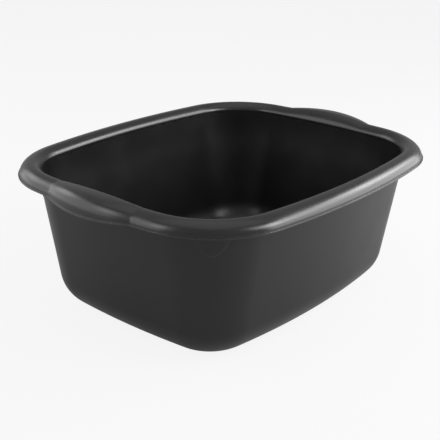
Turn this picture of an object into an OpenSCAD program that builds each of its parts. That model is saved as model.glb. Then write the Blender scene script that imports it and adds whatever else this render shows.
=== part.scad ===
// Washing up bowl: a one-shot plastic moulding with a rolled rim and two end grips.
// Millimetres. The origin is the middle of the footprint, on the surface the bowl stands on.
// X runs along the bowl from grip to grip, Y across it and Z up.
//
// The outline is a closed chain of tangent arcs: a bow on each end, a bow on each side and
// four corners. Every wall is one section swept along that chain, so a section is drawn in
// two numbers: u, the distance outward from the edge of the rim's lip, and z, the height.

/* [Outline] */
// Length over the rim's lip, without the bulge of the grips
bowl_length = 378; // [350:1:400]
// Width over the rim's lip
bowl_width = 315; // [290:1:330]
// Radius of the corners, at the lip
corner_radius = 88; // [80:1:100]
// Direction in which each corner starts, in degrees from the end: less makes a flatter end
corner_start = 5; // [4:0.1:6]
// Direction in which each corner stops, in degrees from the end: more makes a flatter side
corner_end = 82; // [80:0.1:84]

/* [Wall] */
// Height of the rim's crown above the surface the bowl stands on
rim_height = 148; // [120:1:170]
// Lean of the wall from upright, in degrees
wall_draft = 8.8; // [6:0.1:10]
// Thickness of the wall, the heel and the floor
wall_thickness = 1.8; // [1.5:0.1:2.6]
// Outer radius of the heel, where the wall turns into the floor
heel_radius = 37; // [25:1:40]

/* [Rim] */
// Width of the rim, from the inside face of the bowl to the lip's edge
rim_width = 19.5; // [17:0.1:24]
// Radius of the rim's inner edge
inner_round = 5; // [3.5:0.1:6]
// Thickness of the rim
rim_thickness = 2; // [1.6:0.1:2.4]
// Height of the rim's curve, from the crown down to the lip
rim_drop = 10.7; // [9:0.1:16]
// Distance that the lip stands out from the skirt
lip_reach = 1.2; // [0.8:0.1:2]
// Height of the lip
lip_height = 1.5; // [1:0.1:2.5]

/* [Grips] */
// Length of each grip along the end of the bowl
grip_length = 103; // [80:1:120]
// Distance that a grip bulges outward at its middle
grip_reach = 8.4; // [4:0.1:12]
// Rise of a grip's crown above the rim at its middle
grip_rise = 3.8; // [0:0.1:6]
// Extra depth of a grip's skirt at its middle
grip_drop = 2.6; // [0:0.1:5]
// Outward shift of a grip's crown at its middle
grip_shift = 2.4; // [0:0.1:5]
// Fullness of a grip's shoulder: 2 is an ellipse, more is squarer
grip_fullness = 3; // [2:0.1:4]

/* [Foot] */
// Height of the foot ring under the floor
foot_height = 0.8; // [0.5:0.1:2]
// Width of the foot ring
foot_width = 4; // [2:0.5:8]
// Distance from the edge of the flat floor in to the foot ring
foot_inset = 3; // [1:0.5:8]

/* [Corner pads] */
// Width of the raised pad on the outside of each corner, at the lip
pad_width = 39; // [24:1:42]
// Depth of a pad's lowest point below the rim's crown
pad_depth = 37; // [30:1:50]
// Thickness that a pad stands off the wall
pad_thickness = 0.5; // [0.3:0.1:1]
// Direction that each pad faces, in degrees from the end
pad_direction = 42; // [38:1:48]

/* [Hidden] */
$fn = 128;
plastic = [0.16, 0.16, 0.165];
plastic_light = [0.22, 0.22, 0.225];
plastic_dark = [0.11, 0.11, 0.115];

// Steps along the curves of the rim's section. The fillet has one more than the inner edge, so
// that the upper and the under side of the section have the same number of points.
inner_steps = 6;
outer_steps = 11;
fillet_steps = inner_steps + 1;
// Sections along a grip
grip_steps = 22;
// Steps along each bow and each corner where a flat outline is drawn
bow_steps = 24;
corner_steps = 16;
// Steps from the lowest point of a corner pad's outline to its top
pad_steps = 12;
// The curved blank of a corner pad runs past the pad's outline by this much
spare = 1;
// and by this many degrees round the corner
spare_angle = 1;

// The bows that meet the corners without a kink: their radii, and the centres of all the arcs
end_room = bowl_length / 2 - corner_radius;
side_room = bowl_width / 2 - corner_radius;
bow_scale = (1 - cos(corner_start)) * (1 - sin(corner_end)) - cos(corner_end) * sin(corner_start);
end_gap = (end_room * (1 - sin(corner_end)) - side_room * cos(corner_end)) / bow_scale;
side_gap = (side_room * (1 - cos(corner_start)) - end_room * sin(corner_start)) / bow_scale;
end_bow_radius = corner_radius + end_gap;
side_bow_radius = corner_radius + side_gap;
end_centre_x = bowl_length / 2 - end_bow_radius;
side_centre_y = bowl_width / 2 - side_bow_radius;
corner_centre = [side_gap * cos(corner_end), end_gap * sin(corner_start)];
// Half of the angle that a grip takes up on the end bow
grip_angle = asin(grip_length / 2 / end_bow_radius);

// Places on the rim's section
crown_u = inner_round - rim_width;
round_z = rim_height - inner_round;
wall_in = [crown_u - inner_round * cos(wall_draft), round_z + inner_round * sin(wall_draft)];
wall_out = wall_in + wall_thickness * [cos(wall_draft), -sin(wall_draft)];
// Places on the heel: the centre of its curve, and where the wall meets it
heel_z = foot_height + heel_radius;
heel_top_z = heel_z - heel_radius * sin(wall_draft);
heel_top_u = wall_out[0] - (wall_out[1] - heel_top_z) * tan(wall_draft);
heel_u = heel_top_u - heel_radius * cos(wall_draft);
heel_out = [heel_top_u, heel_top_z];
heel_in = heel_out - wall_thickness * [cos(wall_draft), -sin(wall_draft)];

// Distance u of the wall's outer face at height z
function wall_u(z) = wall_out[0] - (wall_out[1] - z) * tan(wall_draft);

// Points on an arc, without its last one
function arc_points(centre, radius, from, to, steps) = [
  for (i = [0 : steps - 1]) let (a = from + (to - from) * i / steps) centre + radius * [cos(a), sin(a)]
];

// The outline at distance u from the lip's edge, as one quarter turned into four
function outline(u) = let (
  bow = arc_points([end_centre_x, 0], end_bow_radius + u, 0, corner_start, bow_steps),
  turn = arc_points(corner_centre, corner_radius + u, corner_start, corner_end, corner_steps),
  side = arc_points([0, side_centre_y], side_bow_radius + u, corner_end, 90, bow_steps),
  top = [[0, bowl_width / 2 + u]],
  first = concat(bow, turn, side),
  second = [for (i = [len(first) - 1 : -1 : 0]) [-first[i][0], first[i][1]]],
  upper = concat(first, top, second)
) concat(upper, [for (i = [len(upper) - 2 : -1 : 1]) [upper[i][0], -upper[i][1]]]);

// A point on a quarter of a superellipse: 0 degrees is its side and 90 its top
function super_point(centre, size, power, a) =
  centre + [size[0] * cos(a) ^ (2 / power), size[1] * sin(a) ^ (2 / power)];

// The rim's section. swell is 0 on the plain rim and 1 at the middle of a grip.
function rim_section(swell) = let (
  crown = [crown_u + grip_shift * swell, rim_height + grip_rise * swell],
  skirt = [grip_reach * swell - lip_reach, rim_height - rim_drop - grip_drop * swell],
  power = 2 + (grip_fullness - 2) * swell,
  // Inner edge, from the top of the wall up to the crown
  edge_size = crown - [crown_u - inner_round, round_z],
  edge_start = 180 - asin((wall_in[1] - round_z) / edge_size[1]),
  edge = [
    for (i = [1 : inner_steps]) let (a = edge_start + (90 - edge_start) * i / inner_steps)
      [crown[0] + edge_size[0] * cos(a), round_z + edge_size[1] * sin(a)]
  ],
  // Shoulder, from the crown out and down to the lip
  shoulder_foot = [crown[0], skirt[1]],
  shoulder_size = [skirt[0] - crown[0], crown[1] - skirt[1]],
  shoulder = [
    for (i = [1 : outer_steps])
      super_point(shoulder_foot, shoulder_size, power, 90 - 90 * i / outer_steps)
  ],
  lip = [
    [skirt[0] + lip_reach, skirt[1]],
    [skirt[0] + lip_reach, skirt[1] - lip_height],
    [skirt[0] - rim_thickness, skirt[1] - lip_height]
  ],
  // Underside, one thickness inside the shoulder
  under_size = shoulder_size - [rim_thickness, rim_thickness],
  under = [
    for (i = [0 : outer_steps])
      super_point(shoulder_foot, under_size, power, 90 * i / outer_steps)
  ],
  // Fillet from the underside down to the outer face of the wall
  fillet_size = [crown[0] - wall_out[0], crown[1] - rim_thickness - wall_out[1]],
  fillet = [
    for (i = [1 : fillet_steps]) let (a = 90 + 90 * i / fillet_steps)
      [crown[0] + fillet_size[0] * cos(a), wall_out[1] + fillet_size[1] * sin(a)]
  ]
) concat([wall_in], edge, shoulder, lip, under, fillet);

// Moves by thousandths of a millimetre and then by the rest, so that arcs whose centres are
// far away still meet exactly when coordinates are written out with few digits
module place(v) {
  main = [for (x = v) round(x * 1000) / 1000];
  translate(main)
    translate(v - main)
      children();
}

// Sweeps a section along an arc of the outline, from one direction to another
module sweep(centre, radius, from, to) {
  place(centre)
    rotate_extrude(angle = to - from, start = from)
      place([radius, 0])
        children();
}

// Sweeps a section along half of the outline, from one direction on the +X end round the +Y
// side to the mirrored direction on the -X end
module rear_half(first) {
  for (side = [0, 1]) {
    mirror([side, 0, 0]) {
      sweep([end_centre_x, 0], end_bow_radius, first, corner_start) children();
      sweep(corner_centre, corner_radius, corner_start, corner_end) children();
    }
  }
  sweep([0, side_centre_y], side_bow_radius, corner_end, 180 - corner_end) children();
}

// The same along the other half, round the -Y side
module front_half(first) {
  mirror([0, 1, 0])
    rear_half(first)
      children();
}

// Flat floor inside the heel
module floor_panel() {
  color(plastic_dark)
    translate([0, 0, foot_height])
      linear_extrude(wall_thickness)
        polygon(outline(heel_u));
}

// Low ring under the floor that the bowl stands on
module foot_ring() {
  color(plastic_light)
    linear_extrude(foot_height)
      difference() {
        polygon(outline(heel_u - foot_inset));
        polygon(outline(heel_u - foot_inset - foot_width));
      }
}

// Section of the rounded heel between the floor and the wall
module heel_section() {
  reach = 2 * heel_radius;
  translate([heel_u, heel_z])
    intersection() {
      difference() {
        circle(r = heel_radius);
        circle(r = heel_radius - wall_thickness);
      }
      polygon([[0, 0], [0, -reach], [reach, -reach], reach * [cos(wall_draft), -sin(wall_draft)]]);
    }
}

// Section of the leaning wall from the heel up to the rim
module wall_section() {
  polygon([wall_in, wall_out, heel_out, heel_in]);
}

module heel_front() {
  color(plastic)
    front_half(0)
      heel_section();
}

module heel_rear() {
  color(plastic)
    rear_half(0)
      heel_section();
}

module wall_front() {
  color(plastic_dark)
    front_half(0)
      wall_section();
}

module wall_rear() {
  color(plastic_dark)
    rear_half(0)
      wall_section();
}

// Plain rim along each side of the bowl and round its corners, up to the grips
module rim_front() {
  color(plastic)
    front_half(grip_angle)
      polygon(rim_section(0));
}

module rim_rear() {
  color(plastic)
    rear_half(grip_angle)
      polygon(rim_section(0));
}

// One grip: the rim's section lofted along the end bow as it swells and shrinks again. Each
// end is closed by a strip of triangles between the section's upper side and its under side.
module grip() {
  sections = [
    for (i = [0 : grip_steps]) let (
      along = 2 * i / grip_steps - 1,
      a = grip_angle * along
    ) [
      for (p = rim_section(1 - along ^ 2))
        [end_centre_x + (end_bow_radius + p[0]) * cos(a), (end_bow_radius + p[0]) * sin(a), p[1]]
    ]
  ];
  n = len(sections[0]);
  sides = [
    for (i = [0 : grip_steps - 1], j = [0 : n - 1], half = [0, 1])
      let (a = i * n + j, b = i * n + (j + 1) % n)
        half == 0 ? [a, a + n, b] : [b, a + n, b + n]
  ];
  strip = [
    for (j = [0 : n / 2 - 2], half = [0, 1])
      half == 0 ? [j, j + 1, n - 1 - j] : [j + 1, n - 2 - j, n - 1 - j]
  ];
  last_strip = [for (t = strip) [t[2], t[1], t[0]] + grip_steps * n * [1, 1, 1]];
  polyhedron(points = [for (s = sections, p = s) p], faces = concat(sides, strip, last_strip));
}

module grip_left() {
  color(plastic_light)
    mirror([1, 0, 0])
      grip();
}

module grip_right() {
  color(plastic_light)
    grip();
}

// Thin pad on the outside of each corner, just under the rim, with a parabola as its lower edge
module corner_pads() {
  pad_top = rim_height - rim_drop;
  pad_bottom = rim_height - pad_depth;
  low = pad_bottom - spare;
  lean = pad_thickness / cos(wall_draft);
  half_angle = asin(pad_width / 2 / (corner_radius + wall_u(low))) + spare_angle;
  color(plastic)
    for (x = [0, 1], y = [0, 1]) {
      mirror([x, 0, 0])
        mirror([0, y, 0])
          intersection() {
            sweep(corner_centre, corner_radius, pad_direction - half_angle, pad_direction + half_angle)
              polygon([
                [wall_u(pad_top), pad_top],
                [wall_u(pad_top) + lean, pad_top],
                [wall_u(low) + lean, low],
                [wall_u(low), low]
              ]);
            translate(corner_centre)
              rotate([90, 0, 90 + pad_direction])
                linear_extrude(corner_radius)
                  polygon([
                    for (i = [-pad_steps : pad_steps]) let (t = i / pad_steps)
                      [pad_width / 2 * t, pad_bottom + (pad_top - pad_bottom) * t ^ 2]
                  ]);
          }
    }
}

floor_panel();
foot_ring();
heel_front();
heel_rear();
wall_front();
wall_rear();
rim_front();
rim_rear();
grip_left();
grip_right();
corner_pads();
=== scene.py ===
"""Looks of the washing up bowl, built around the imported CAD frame."""
from math import asin, atan2, cos, degrees, hypot, pi, radians, sin, tan

import bpy
from mathutils import Matrix, Vector


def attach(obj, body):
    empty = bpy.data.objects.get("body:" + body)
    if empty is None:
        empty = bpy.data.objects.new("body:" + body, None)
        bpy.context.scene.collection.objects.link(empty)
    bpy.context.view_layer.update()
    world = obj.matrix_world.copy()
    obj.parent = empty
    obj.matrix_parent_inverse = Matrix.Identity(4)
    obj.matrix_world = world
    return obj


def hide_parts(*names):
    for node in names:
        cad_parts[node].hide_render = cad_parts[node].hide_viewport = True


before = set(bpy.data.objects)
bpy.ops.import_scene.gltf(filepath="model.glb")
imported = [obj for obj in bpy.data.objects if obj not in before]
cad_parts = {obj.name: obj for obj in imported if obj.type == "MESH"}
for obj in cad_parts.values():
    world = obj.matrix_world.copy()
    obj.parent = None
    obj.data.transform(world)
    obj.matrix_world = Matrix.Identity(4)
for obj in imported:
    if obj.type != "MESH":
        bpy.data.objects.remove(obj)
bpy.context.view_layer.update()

# Sizes are in millimetres, as in the part's source, and meshes are written in metres.
MM = 0.001

# The outline, at the edge of the rim's lip
BOWL_LENGTH = 378
BOWL_WIDTH = 315
CORNER_RADIUS = 88
CORNER_START = radians(5)
CORNER_END = radians(82)
# The wall, which leans outward by DRAFT, and the heel
RIM_HEIGHT = 148
DRAFT = radians(8.8)
WALL = 1.8
HEEL_RADIUS = 37
# The rim's section. INNER_ROUND is the source's radius, from which the wall's place follows.
RIM_WIDTH = 19.5
INNER_ROUND = 5
RIM_THICKNESS = 2
RIM_DROP = 10.7
LIP_REACH = 1.2
LIP_HEIGHT = 1.5
LIP_ROUND = 0.6
# The grips
GRIP_LENGTH = 103
GRIP_REACH = 8.4
GRIP_RISE = 3.8
GRIP_DROP = 2.6
GRIP_SHIFT = 2.4
GRIP_FULLNESS = 3
GRIP_CREASE = 1.0
# The foot ring
FOOT_HEIGHT = 0.8
FOOT_WIDTH = 4
FOOT_INSET = 3
FOOT_ROUND = 0.3
# The corner pads
PAD_WIDTH = 39
PAD_DEPTH = 37
PAD_THICKNESS = 0.5
PAD_DIRECTION = radians(42)
PAD_SUNK = 0.3
PAD_EDGE = 1.6
# The line across the rim where the halves of the mould met
MOULD_DIRECTION = radians(45)
MOULD_HALF_WIDTH = 0.9
MOULD_DEPTH = 0.1
# The body and the rim piece meet on the wall, this far under its top
SEAM_DROP = 6
# The inner face stands upright at this height, where the rim's inner round begins, and leans
# like the rest of the wall from this far below
EDGE_Z = 140.5
COLLAR = 34
# The power of the inner round's curve, where 2 is an ellipse and less is flatter
EDGE_POWER = 1.6
# Rows this close to a sharp edge keep the smooth shading of one side from the other
HOLD = 0.02

# Centres and radii of the arcs that meet without a kink
END_ROOM = BOWL_LENGTH / 2 - CORNER_RADIUS
SIDE_ROOM = BOWL_WIDTH / 2 - CORNER_RADIUS
BOW_SCALE = (1 - cos(CORNER_START)) * (1 - sin(CORNER_END)) - cos(CORNER_END) * sin(CORNER_START)
END_GAP = (END_ROOM * (1 - sin(CORNER_END)) - SIDE_ROOM * cos(CORNER_END)) / BOW_SCALE
SIDE_GAP = (SIDE_ROOM * (1 - cos(CORNER_START)) - END_ROOM * sin(CORNER_START)) / BOW_SCALE
END_BOW = (BOWL_LENGTH / 2 - CORNER_RADIUS - END_GAP, 0, CORNER_RADIUS + END_GAP)
SIDE_BOW = (0, BOWL_WIDTH / 2 - CORNER_RADIUS - SIDE_GAP, CORNER_RADIUS + SIDE_GAP)
CORNER = (SIDE_GAP * cos(CORNER_END), END_GAP * sin(CORNER_START), CORNER_RADIUS)
GRIP_ANGLE = asin(GRIP_LENGTH / 2 / END_BOW[2])

# Places on the section: u is the distance outward from the lip's edge
CROWN_U = INNER_ROUND - RIM_WIDTH
ROUND_Z = RIM_HEIGHT - INNER_ROUND
WALL_IN = (CROWN_U - INNER_ROUND * cos(DRAFT), ROUND_Z + INNER_ROUND * sin(DRAFT))
WALL_OUT = (WALL_IN[0] + WALL * cos(DRAFT), WALL_IN[1] - WALL * sin(DRAFT))
HEEL_Z = FOOT_HEIGHT + HEEL_RADIUS
HEEL_TOP_Z = HEEL_Z - HEEL_RADIUS * sin(DRAFT)
HEEL_U = WALL_OUT[0] - (WALL_OUT[1] - HEEL_TOP_Z) * tan(DRAFT) - HEEL_RADIUS * cos(DRAFT)


def spread(first, last, steps):
    """Values from first to last, both included."""
    return [first + (last - first) * i / steps for i in range(steps + 1)]


def arc(centre, size, start, end, steps, power=2):
    """Points (u, z) on an arc or a superellipse's quarter, from one angle in degrees to another."""
    points = []
    for a in spread(radians(start), radians(end), steps):
        c, s = cos(a), sin(a)
        u = centre[0] + size[0] * abs(c) ** (2 / power) * (1 if c >= 0 else -1)
        z = centre[1] + size[1] * abs(s) ** (2 / power) * (1 if s >= 0 else -1)
        points.append((u, z))
    return points


def soften(corners, radius, steps=4):
    """A path of corners with each inner corner turned into a short curve."""
    path = [corners[0]]
    for before, here, after in zip(corners, corners[1:], corners[2:]):
        arms = []
        for other in (before, after):
            reach = hypot(other[0] - here[0], other[1] - here[1])
            t = min(radius / reach, 0.45)
            arms.append((here[0] + (other[0] - here[0]) * t, here[1] + (other[1] - here[1]) * t))
        for t in spread(0, 1, steps):
            a, b, c = (1 - t) ** 2, 2 * t * (1 - t), t ** 2
            path.append(tuple(a * arms[0][i] + b * here[i] + c * arms[1][i] for i in (0, 1)))
    path.append(corners[-1])
    return path


def wall_point(drop, outer):
    """A point on the wall's outer or inner face, this far down from its top."""
    top = WALL_OUT if outer else WALL_IN
    u = top[0] - drop * tan(DRAFT)
    z = top[1] - drop
    if not outer:
        u -= tan(DRAFT) * COLLAR / 2 * max(0, 1 - (EDGE_Z - z) / COLLAR) ** 2
    return (u, z)


def seam():
    """The cut through the wall where the rim meets the body, from its inner to its outer edge."""
    first = wall_point(SEAM_DROP, False)
    last = wall_point(SEAM_DROP, True)
    near = tuple(a + (b - a) * HOLD / WALL for a, b in zip(first, last))
    far = tuple(b + (a - b) * HOLD / WALL for a, b in zip(first, last))
    return [first, near, far, last]


def rim_section(swell, sink):
    """The rim's section as a closed loop, from the seam on the inside over the crown and back.

    swell is 0 on the plain rim and 1 at a grip's middle, and sink lowers the outside."""
    crown = (CROWN_U + GRIP_SHIFT * swell, RIM_HEIGHT + GRIP_RISE * swell - sink)
    skirt = (GRIP_REACH * swell - LIP_REACH - sink, RIM_HEIGHT - RIM_DROP - GRIP_DROP * swell)
    power = 2 + (GRIP_FULLNESS - 2) * swell
    edge_u = wall_point(WALL_IN[1] - EDGE_Z, False)[0]
    edge = (crown[0] - edge_u, crown[1] - EDGE_Z)
    shoulder = (skirt[0] - crown[0], crown[1] - skirt[1])
    under = (shoulder[0] - RIM_THICKNESS, shoulder[1] - RIM_THICKNESS)
    fillet = (crown[0] - WALL_OUT[0], crown[1] - RIM_THICKNESS - WALL_OUT[1])
    lip_bottom = skirt[1] - LIP_HEIGHT
    outer = arc((crown[0], skirt[1]), shoulder, 90, 0, 34, power)
    inner = arc((crown[0], skirt[1]), under, 0, 90, 22, power)
    lip = soften([
        outer[-2],
        skirt,
        (skirt[0] + LIP_REACH, skirt[1]),
        (skirt[0] + LIP_REACH, lip_bottom),
        (skirt[0] - RIM_THICKNESS, lip_bottom),
        inner[1],
    ], LIP_ROUND)
    return (
        [wall_point(drop, False) for drop in (SEAM_DROP - HOLD, SEAM_DROP * 0.75)]
        + arc((crown[0], EDGE_Z), edge, 180, 90, 24, EDGE_POWER)
        + outer[1:-2]
        + lip
        + inner[2:]
        + arc((crown[0], WALL_OUT[1]), fillet, 90, 180, 8)[1:]
        + [wall_point(SEAM_DROP * k, True) for k in (0.25, 0.5, 0.75)]
        + [wall_point(SEAM_DROP - HOLD, True)]
        + seam()[::-1]
    )


def body_section():
    """The wall and the heel, from the floor's edge inside over the seam to the edge underneath."""
    inner = arc((HEEL_U, HEEL_Z), (HEEL_RADIUS - WALL,) * 2, 270, 360 - degrees(DRAFT), 28)
    outer = arc((HEEL_U, HEEL_Z), (HEEL_RADIUS,) * 2, 360 - degrees(DRAFT), 270, 28)
    height_in = WALL_IN[1] - inner[-1][1]
    height_out = WALL_OUT[1] - outer[0][1]
    up = [wall_point(drop, False) for drop in spread(height_in, SEAM_DROP + HOLD, 30)[1:]]
    down = [wall_point(drop, True) for drop in spread(SEAM_DROP + HOLD, height_out, 30)[:-1]]
    return inner + up + seam() + down + outer


def stations():
    """Places round the outline as (centre x, centre y, radius, direction), closed.

    Steps are close together at the grips' ends, where the surface turns in a millimetre, and
    at the mould line across each corner."""
    near = [0, 0.25, 0.5, 0.8, 1.2, 1.8, 3, 5]
    bow = spread(0, GRIP_ANGLE - 6 / END_BOW[2], 22)
    bow += [GRIP_ANGLE - d / END_BOW[2] for d in reversed(near)]
    bow += [GRIP_ANGLE + d / END_BOW[2] for d in near[1:]]
    bow += spread(bow[-1], CORNER_START, 6)[1:-1]
    line = [0, 0.15, 0.3, 0.45, 0.6, 0.8, 1.1]
    turn = spread(CORNER_START, MOULD_DIRECTION - 2 / CORNER_RADIUS, 26)
    turn += [MOULD_DIRECTION - d / CORNER_RADIUS for d in reversed(line)]
    turn += [MOULD_DIRECTION + d / CORNER_RADIUS for d in line[1:]]
    turn += spread(MOULD_DIRECTION + 2 / CORNER_RADIUS, CORNER_END, 26)[:-1]
    side = spread(CORNER_END, pi / 2, 20)
    first = [(*END_BOW, a) for a in bow] + [(*CORNER, a) for a in turn] + [(*SIDE_BOW, a) for a in side]
    second = [(-x, y, r, pi - a) for x, y, r, a in reversed(first[:-1])]
    upper = first + second
    lower = [(x, -y, r, -a) for x, y, r, a in reversed(upper[1:-1])]
    return upper + lower


def place(station, u, z):
    """The point at u and z of the section that stands on a station, in metres."""
    x, y, r, a = station
    return ((x + (r + u) * cos(a)) * MM, (y + (r + u) * sin(a)) * MM, z * MM)


def swell_at(station):
    """How far the rim has swelled into a grip: 0 on the plain rim and 1 at a grip's middle."""
    x, y, r, a = station
    if abs(y) > 1e-9 or r != END_BOW[2]:
        return 0
    along = abs(atan2(sin(a), abs(cos(a)))) * r
    half = GRIP_ANGLE * r
    inside = half - along
    inside = (inside + hypot(inside, GRIP_CREASE)) / 2
    return 1 - (1 - inside / half) ** 2


def sink_at(station):
    """Depth of the mould line on the rim at a station."""
    x, y, r, a = station
    if r != CORNER_RADIUS:
        return 0
    along = abs(atan2(abs(sin(a)), abs(cos(a))) - MOULD_DIRECTION) * r
    return MOULD_DEPTH * (1 + cos(pi * min(1, along / MOULD_HALF_WIDTH))) / 2


def new_mesh(name, points, faces, nodes, wear):
    """A smooth piece that rides on the bowl. wear says how much each point gets rubbed in use."""
    mesh = bpy.data.meshes.new(name)
    mesh.from_pydata(points, [], faces)
    mesh.polygons.foreach_set("use_smooth", [True] * len(faces))
    layer = mesh.attributes.new("wear", "FLOAT", "POINT")
    layer.data.foreach_set("value", wear)
    mesh.update()
    piece = bpy.data.objects.new(name, mesh)
    bpy.context.scene.collection.objects.link(piece)
    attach(piece, "root")
    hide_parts(*nodes)
    return piece


def joined(rings, closed):
    """Quads between rings of equal length, each ring closed; the last ring may join the first."""
    n = len(rings[0])
    m = len(rings)
    faces = []
    for i in range(m if closed else m - 1):
        for j in range(n):
            k = (j + 1) % n
            a, b = i * n, (i + 1) % m * n
            faces.append((a + j, b + j, b + k, a + k))
    return faces


def capped(rings, first, last):
    """Points and faces of rings whose two ends are closed by fans round a first and a last point."""
    n = len(rings[0])
    points = [p for ring in rings for p in ring] + [first, last]
    faces = joined(rings, False)
    top = len(points) - 2
    bottom = len(points) - 1
    end = (len(rings) - 1) * n
    faces += [(top, j, (j + 1) % n) for j in range(n)]
    faces += [(bottom, end + (j + 1) % n, end + j) for j in range(n)]
    return points, faces


def rim_wear(u, z, swell):
    """Rubbing on the rim: most on the lip, some on the crown, and more where hands hold it."""
    lip = max(0, 1 - hypot(u - GRIP_REACH * swell, z - RIM_HEIGHT + RIM_DROP + GRIP_DROP * swell) / 2.5)
    crown = max(0, (z - RIM_HEIGHT + 1.5) / (1.5 + GRIP_RISE))
    return min(1, lip + crown * swell)


def make_rim():
    """The whole rim with both grips, swept round the outline."""
    rings = []
    wear = []
    for station in stations():
        swell = swell_at(station)
        section = rim_section(swell, sink_at(station))[::-1]
        rings.append([place(station, u, z) for u, z in section])
        wear += [rim_wear(u, z, swell) for u, z in section]
    points = [p for ring in rings for p in ring]
    nodes = ["rim_front", "rim_rear", "grip_left", "grip_right"]
    return new_mesh("rim_and_grips", points, joined(rings, True), nodes, wear)


def make_body():
    """The wall and the heel swept round the outline, and the floor drawn in to its middle."""
    path = body_section()
    places = stations()
    shrink = [0.04, 0.2, 0.4, 0.6, 0.8, 0.93]
    inside = [place(s, *path[0]) for s in places]
    below = [place(s, *path[-1]) for s in places]
    rings = [[(x * k, y * k, z) for x, y, z in inside] for k in shrink]
    rings += [[place(s, u, z) for s in places] for u, z in path]
    rings += [[(x * k, y * k, z) for x, y, z in below] for k in reversed(shrink)]
    points, faces = capped(rings, (0, 0, path[0][1] * MM), (0, 0, path[-1][1] * MM))
    wear = [max(0, 0.5 - p[2] / MM / 12) for p in points]
    nodes = ["floor_panel", "heel_front", "heel_rear", "wall_front", "wall_rear"]
    return new_mesh("bowl_body", points, faces, nodes, wear)


def make_foot():
    """The ring that the bowl stands on, with its lower edges rounded."""
    outer = HEEL_U - FOOT_INSET
    inner = outer - FOOT_WIDTH
    sunk = FOOT_HEIGHT + WALL / 4
    path = soften([(inner, sunk), (inner, 0), (outer, 0), (outer, sunk)], FOOT_ROUND)
    rings = [[place(s, u, z) for u, z in path] for s in stations()]
    points = [p for ring in rings for p in ring]
    wear = [1 if p[2] < FOOT_ROUND * MM else 0 for p in points]
    return new_mesh("standing_ring", points, joined(rings, True), ["foot_ring"], wear)


def pad_outline(inset, scale):
    """A pad's outline from outside, as (along, z): a parabola below and a straight top."""
    half = PAD_WIDTH / 2
    low = RIM_HEIGHT - PAD_DEPTH
    top = RIM_HEIGHT - RIM_DROP
    points = []
    for t in spread(-1, 1, 60):
        slope = 2 * (top - low) * t / half
        reach = inset / hypot(slope, 1)
        points.append((half * t - slope * reach, min(low + (top - low) * t ** 2 + reach, top - inset)))
    across = points[0][0] - points[-1][0]
    points += [(points[60][0] + across * i / 16, top - inset) for i in range(1, 16)]
    middle = low + (top - low) * 0.6
    return [(x * scale, middle + (z - middle) * scale) for x, z in points]


def make_pads():
    """A pad on the outside of each corner. Its edge is eased and its back is sunk in the wall."""
    rows = [(PAD_EDGE, k, PAD_THICKNESS) for k in (0.06, 0.25, 0.45, 0.65, 0.82, 0.94)]
    rows += [(t, 1, PAD_THICKNESS * (1 - cos(pi * t / PAD_EDGE)) / 2) for t in spread(PAD_EDGE, 0, 8)]
    rows += [(0, k, -PAD_SUNK) for k in (1, 0.82, 0.65, 0.45, 0.25, 0.06)]
    points = []
    faces = []
    for sx in (1, -1):
        for sy in (1, -1):
            rings = []
            for inset, scale, height in rows:
                ring = []
                for along, z in pad_outline(inset, scale):
                    u = WALL_OUT[0] - (WALL_OUT[1] - z) * tan(DRAFT) + height
                    a = PAD_DIRECTION + asin(along / (CORNER_RADIUS + u))
                    x, y, z = place((*CORNER, a), u, z)
                    ring.append((x * sx, y * sy, z))
                rings.append(ring)
            ends = [tuple(sum(c) / len(ring) for c in zip(*ring)) for ring in (rings[0], rings[-1])]
            pad_points, pad_faces = capped(rings, *ends)
            if sx * sy < 0:
                pad_faces = [f[::-1] for f in pad_faces]
            faces += [tuple(len(points) + i for i in f) for f in pad_faces]
            points += pad_points
    wear = [0] * len(points)
    return new_mesh("pads_under_rim", points, faces, ["corner_pads"], wear)


body = make_body()
rim = make_rim()
foot = make_foot()
pads = make_pads()


class Nodes:
    """A material's node tree, with short calls to add nodes and join them."""

    def __init__(self, name):
        self.material = bpy.data.materials.new(name)
        self.material.use_nodes = True
        self.tree = self.material.node_tree
        self.tree.nodes.clear()

    def add(self, kind, **inputs):
        """A new node. An input's name is written with _ for a space."""
        node = self.tree.nodes.new(kind)
        for key, value in inputs.items():
            self.put(node, key.replace("_", " "), value)
        return node

    def put(self, node, key, value):
        """Sets an input to a number or colour, or joins it to another node's output."""
        socket = node.inputs[key]
        if isinstance(value, bpy.types.NodeSocket):
            self.tree.links.new(value, socket)
        else:
            socket.default_value = value

    def noise(self, size, detail, where):
        """Noise whose blotches are about this many millimetres across."""
        node = self.add("ShaderNodeTexNoise", Scale=1 / (size * MM), Detail=detail)
        self.put(node, "Vector", where)
        return node.outputs["Fac"]

    def remap(self, value, low, high, to_low, to_high):
        """The value, brought smoothly from one range to another."""
        node = self.add("ShaderNodeMapRange", From_Min=low, From_Max=high, To_Min=to_low, To_Max=to_high)
        node.interpolation_type = "SMOOTHSTEP"
        self.put(node, "Value", value)
        return node.outputs["Result"]

    def math(self, operation, a, b):
        """A sum, product or other operation on two values."""
        node = self.add("ShaderNodeMath")
        node.operation = operation
        self.put(node, 0, a)
        self.put(node, 1, b)
        return node.outputs["Value"]


# Depth of the waves that shrinkage leaves, in millimetres
WAVE_DEPTH = 0.1


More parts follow.
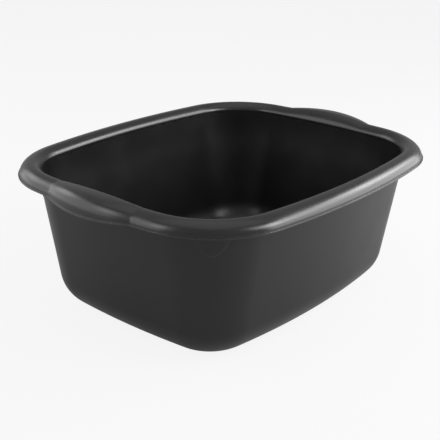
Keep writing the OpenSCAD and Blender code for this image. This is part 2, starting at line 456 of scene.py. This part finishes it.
def plastic(name, colour, roughness, specular, grain_depth):
    """Satin polypropylene: moulded grain, slow waves left by shrinkage, clouds and rub marks.

    grain_depth is in millimetres."""
    n = Nodes(name)
    where = n.add("ShaderNodeTexCoord").outputs["Object"]
    blotch = n.noise(35, 3, where)
    cloud = n.noise(9, 4, where)
    grain = n.noise(0.7, 3, where)
    # Fine scratches, drawn out along the bowl and kept to a few patches
    stretch = n.add("ShaderNodeMapping")
    stretch.inputs["Scale"].default_value = (0.06, 1, 1)
    stretch.inputs["Rotation"].default_value = (0.3, 0.2, 0.5)
    n.put(stretch, "Vector", where)
    streak = n.remap(n.noise(0.9, 2, stretch.outputs["Vector"]), 0.62, 0.72, 0, 1)
    patch = n.remap(n.noise(50, 2, where), 0.5, 0.7, 0, 1)
    scratch = n.math("MULTIPLY", streak, patch)
    # Rubbed edges are a little paler and duller, in a broken line
    layer = n.add("ShaderNodeAttribute")
    layer.attribute_name = "wear"
    rubbed = n.math("MULTIPLY", layer.outputs["Fac"], n.remap(cloud, 0.3, 0.7, 0.4, 1))
    shade = n.remap(blotch, 0.3, 0.7, 0.85, 1.15)
    shade = n.math("ADD", shade, n.math("MULTIPLY", scratch, 0.5))
    shade = n.math("ADD", shade, n.math("MULTIPLY", rubbed, 0.5))
    tint = n.add("ShaderNodeMix")
    tint.data_type = "RGBA"
    tint.blend_type = "MULTIPLY"
    tint.inputs["Factor"].default_value = 1
    tint.inputs["A"].default_value = (*colour, 1)
    n.put(tint, "B", shade)
    rough = n.math("ADD", n.remap(blotch, 0.3, 0.7, -0.02, 0.02), roughness)
    rough = n.math("ADD", rough, n.math("MULTIPLY", scratch, 0.05))
    rough = n.math("ADD", rough, n.math("MULTIPLY", rubbed, 0.04))
    wave = n.add("ShaderNodeBump", Strength=1, Distance=WAVE_DEPTH * MM)
    n.put(wave, "Height", n.noise(45, 0, where))
    bump = n.add("ShaderNodeBump", Strength=1, Distance=grain_depth * MM)
    n.put(bump, "Height", grain)
    n.put(bump, "Normal", wave.outputs["Normal"])
    shader = n.add("ShaderNodeBsdfPrincipled", IOR=1.49)
    shader.inputs["Specular IOR Level"].default_value = specular
    n.put(shader, "Base Color", tint.outputs["Result"])
    n.put(shader, "Roughness", rough)
    n.put(shader, "Normal", bump.outputs["Normal"])
    output = n.add("ShaderNodeOutputMaterial")
    n.put(output, "Surface", shader.outputs["BSDF"])
    return n.material


# The walls, floor, foot and pads are the same plastic as the rim, with a darker colour: painted shade
# for the inside and the lower walls.
WALL_CHARCOAL_DARKENED_FOR_SHADE = (0.0055, 0.0055, 0.0056)
RIM_CHARCOAL = (0.010, 0.010, 0.0102)
wall_plastic_with_painted_shade = plastic("charcoal_walls_painted_shade", WALL_CHARCOAL_DARKENED_FOR_SHADE, 0.35, 0.52, 0.006)
rim_plastic = plastic("charcoal_rim", RIM_CHARCOAL, 0.26, 0.65, 0.003)
for piece in (body, foot, pads):
    piece.data.materials.append(wall_plastic_with_painted_shade)
rim.data.materials.append(rim_plastic)

FLOOR_SIZE = 6
FLOOR_COLOUR = (0.5, 0.5, 0.5, 1)
# Share of plain white in what the camera sees of the floor, and in what reflections show of it.
# The rest is lit, and keeps the bowl's shadow.
WHITE_TO_CAMERA = 0.88
WHITE_IN_GLOSS = 0.12


def make_floor():
    """A plain floor, wide enough to be its own backdrop."""
    s = FLOOR_SIZE
    mesh = bpy.data.meshes.new("studio_floor")
    mesh.from_pydata([(-s, -s, 0), (s, -s, 0), (s, s, 0), (-s, s, 0)], [], [(0, 1, 2, 3)])
    floor = bpy.data.objects.new("studio_floor", mesh)
    bpy.context.scene.collection.objects.link(floor)
    n = Nodes("studio_white")
    path = n.add("ShaderNodeLightPath")
    reflected = n.math("MAXIMUM", path.outputs["Is Glossy Ray"], path.outputs["Is Transmission Ray"])
    direct = n.math("MULTIPLY", path.outputs["Is Camera Ray"], WHITE_TO_CAMERA)
    share = n.math("ADD", direct, n.math("MULTIPLY", reflected, WHITE_IN_GLOSS))
    diffuse = n.add("ShaderNodeBsdfDiffuse", Color=FLOOR_COLOUR)
    white = n.add("ShaderNodeEmission", Strength=1)
    mix = n.add("ShaderNodeMixShader")
    n.put(mix, 0, share)
    n.put(mix, 1, diffuse.outputs["BSDF"])
    n.put(mix, 2, white.outputs["Emission"])
    output = n.add("ShaderNodeOutputMaterial")
    n.put(output, "Surface", mix.outputs["Shader"])
    mesh.materials.append(n.material)


make_floor()

WORLD_LEVEL = 0.4
# What the camera sees of it over the floor's edge, as bright as the floor
WORLD_TO_CAMERA = 0.94


def make_world():
    """An even white world, which lights the bowl a little from all round."""
    world = bpy.data.worlds.new("studio")
    world.use_nodes = True
    tree = world.node_tree
    path = tree.nodes.new("ShaderNodeLightPath")
    strength = tree.nodes.new("ShaderNodeMapRange")
    strength.inputs["To Min"].default_value = WORLD_LEVEL
    strength.inputs["To Max"].default_value = WORLD_TO_CAMERA
    tree.links.new(path.outputs["Is Camera Ray"], strength.inputs["Value"])
    background = tree.nodes["Background"]
    background.inputs["Color"].default_value = (1, 1, 1, 1)
    tree.links.new(strength.outputs["Result"], background.inputs["Strength"])
    bpy.context.scene.world = world


make_world()

# Softboxes stand round this point, in metres
LIT_POINT = Vector((0, 0, 0.1))


def softbox(name, turn, rise, width, height, away, level):
    """A rectangular lamp that faces the bowl. Turn, rise and size are degrees as the bowl sees
    them, and level is how bright the lamp's face is, where 1 is white."""
    turn, rise = radians(turn), radians(rise)
    back = Vector((sin(turn) * cos(rise), -cos(turn) * cos(rise), sin(rise)))
    right = Vector((cos(turn), sin(turn), 0))
    data = bpy.data.lights.new(name, "AREA")
    data.shape = "RECTANGLE"
    data.size = 2 * away * tan(radians(width / 2))
    data.size_y = 2 * away * tan(radians(height / 2))
    data.energy = level * pi * data.size * data.size_y
    lamp = bpy.data.objects.new(name, data)
    facing = Matrix((right, back.cross(right), back)).transposed().to_4x4()
    lamp.matrix_world = Matrix.Translation(LIT_POINT + back * away) @ facing
    lamp.visible_camera = False
    bpy.context.scene.collection.objects.link(lamp)


softbox("key_panel", turn=45, rise=18.5, width=70, height=46, away=1.0, level=3.2)
softbox("key_middle", turn=43, rise=30, width=34, height=18, away=0.98, level=2)
softbox("key_left_spot", turn=20, rise=30, width=14, height=20, away=0.97, level=6.5)
softbox("key_right_spot", turn=65, rise=29, width=13, height=13, away=0.97, level=6)
softbox("key_side_spot", turn=1, rise=34, width=16, height=20, away=0.97, level=2.4)
softbox("fill_panel", turn=-141, rise=18.5, width=84, height=46, away=1.0, level=1.3)
softbox("fill_left_spot", turn=-105, rise=30, width=14, height=26, away=0.98, level=1.7)
softbox("fill_right_spot", turn=-163, rise=30, width=24, height=16, away=0.98, level=1.2)
softbox("top_panel", turn=0, rise=90, width=56, height=56, away=1.3, level=0.4)


# The camera, from a fit of the rim, the wall and the base to the photograph
CAMERA_TURN = radians(-50.0)
CAMERA_RISE = radians(21.57)
CAMERA_ROLL = radians(0.88)
CAMERA_DISTANCE = 947.97
CAMERA_TARGET = Vector((-0.476, 8.541, 70.85))
FRAME_PIXELS = 440
FOCAL_PIXELS = 925.43
SENSOR = 36


def make_camera():
    """A camera whose frame is the photograph's."""
    back = Vector((
        sin(CAMERA_TURN) * cos(CAMERA_RISE),
        -cos(CAMERA_TURN) * cos(CAMERA_RISE),
        sin(CAMERA_RISE),
    ))
    right = (-back).cross(Vector((0, 0, 1))).normalized()
    up = right.cross(-back)
    roll_cos, roll_sin = cos(CAMERA_ROLL), sin(CAMERA_ROLL)
    right, up = right * roll_cos + up * roll_sin, up * roll_cos - right * roll_sin
    data = bpy.data.cameras.new("camera")
    data.sensor_width = SENSOR
    data.lens = FOCAL_PIXELS / FRAME_PIXELS * SENSOR
    camera = bpy.data.objects.new("camera", data)
    turn = Matrix((right, up, back)).transposed().to_4x4()
    camera.matrix_world = Matrix.Translation((CAMERA_TARGET + back * CAMERA_DISTANCE) * MM) @ turn
    bpy.context.scene.collection.objects.link(camera)
    bpy.context.scene.camera = camera


make_camera()
bpy.context.scene.view_settings.view_transform = "Standard"
